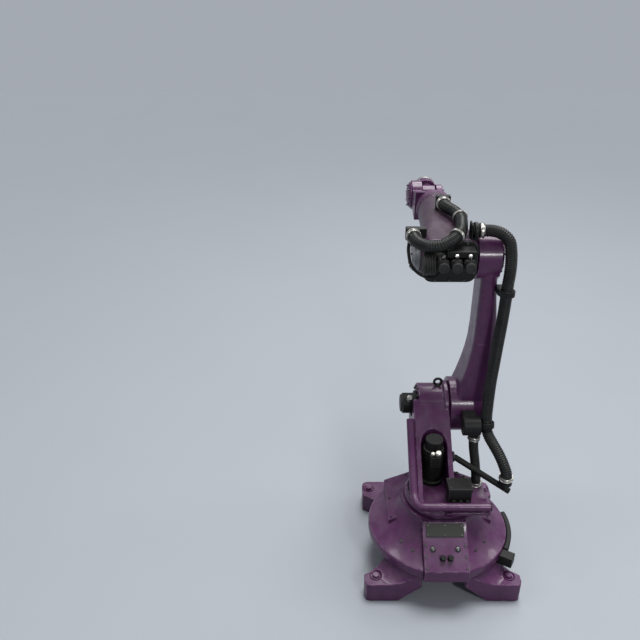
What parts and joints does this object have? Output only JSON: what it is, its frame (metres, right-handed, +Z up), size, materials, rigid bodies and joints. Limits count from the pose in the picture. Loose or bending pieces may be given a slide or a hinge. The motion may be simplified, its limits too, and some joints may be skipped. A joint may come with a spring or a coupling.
{
  "type": "industrial robot arm",
  "caption": "Floor-mounted articulated robot arm on a round footed base, with a boomed lower arm, a forearm with rear motors, an in-line wrist and a corrugated hose pack.",
  "frame": {"origin": "where the slewing axis meets the floor, on the underside of the base", "axes": "+Z up along the slewing axis, +Y the way the forearm points when parked, +X towards the lower arm's side"},
  "size_m": [0.81, 1.716, 1.868],
  "materials": {
    "purple_paint": "satin",
    "motor_black": "matte",
    "hose_rubber": "matte",
    "grey_metal": "satin",
    "bare_steel": "brushed",
    "black_plastic": "matte"
  },
  "bodies": {
    "base": {"base_frame": "purple_paint", "deck_panels": "purple_paint", "connector_cover": "purple_paint", "cover_plate": "grey_metal", "cable_glands": "black_plastic", "supply_duct": "black_plastic", "supply_block": "black_plastic"},
    "column": {"column_casting": "purple_paint", "guard_rail": "purple_paint", "guard_rail_cap": "black_plastic", "slew_motor": "motor_black", "shoulder_motor": "motor_black", "lifting_eye": "motor_black", "junction_box": "motor_black", "hose_bracket": "motor_black", "hose_low": "hose_rubber", "feeder_hose": "hose_rubber"},
    "lower_arm": {"lower_arm": "purple_paint", "shoulder_cap": "purple_paint", "elbow_cap": "purple_paint", "hose_clamp_low": "black_plastic", "hose_clamp_top": "black_plastic", "hose_mid": "hose_rubber", "hose_top": "hose_rubber"},
    "forearm": {"forearm_housing": "purple_paint", "motor_plate": "motor_black", "roll_motor": "motor_black", "bend_motor": "motor_black", "turn_motor": "motor_black", "motor_connector": "black_plastic", "elbow_motor": "motor_black", "elbow_drive": "grey_metal", "hose_holder_rear": "black_plastic", "hose_bulkhead": "black_plastic", "hose_socket": "black_plastic", "motor_cable": "hose_rubber", "hose_loop": "hose_rubber"},
    "wrist_roll": {"wrist_fork": "purple_paint", "wrist_drive_cover": "purple_paint", "wrist_bearing_cover": "purple_paint"},
    "wrist_bend": {"wrist_hand": "purple_paint"},
    "wrist_turn": {"tool_flange": "bare_steel"}
  },
  "joints": [
    {"name": "slew", "type": "hinge", "parent": "base", "child": "column", "pos_m": [0, 0, 0], "axis": [0, 0, 1], "range_deg": [-185, 185]},
    {"name": "shoulder", "type": "hinge", "parent": "column", "child": "lower_arm", "pos_m": [0, 0.35, 0.775], "axis": [-1, 0, 0], "range_deg": [-35, 135], "deforming": ["hose_low", "feeder_hose"]},
    {"name": "elbow", "type": "hinge", "parent": "lower_arm", "child": "forearm", "pos_m": [0, 0.35, 1.665], "axis": [1, 0, 0], "range_deg": [-68, 210], "deforming": ["hose_top"]},
    {"name": "wrist_roll", "type": "hinge", "parent": "forearm", "child": "wrist_roll", "pos_m": [0, 0.35, 1.7], "axis": [0, 1, 0], "range_deg": [-350, 350]},
    {"name": "wrist_bend", "type": "hinge", "parent": "wrist_roll", "child": "wrist_bend", "pos_m": [0, 1.17, 1.7], "axis": [1, 0, 0], "range_deg": [-119, 119]},
    {"name": "wrist_turn", "type": "hinge", "parent": "wrist_bend", "child": "wrist_turn", "pos_m": [0, 1.34, 1.7], "axis": [0, 1, 0], "range_deg": [-350, 350]}
  ]
}
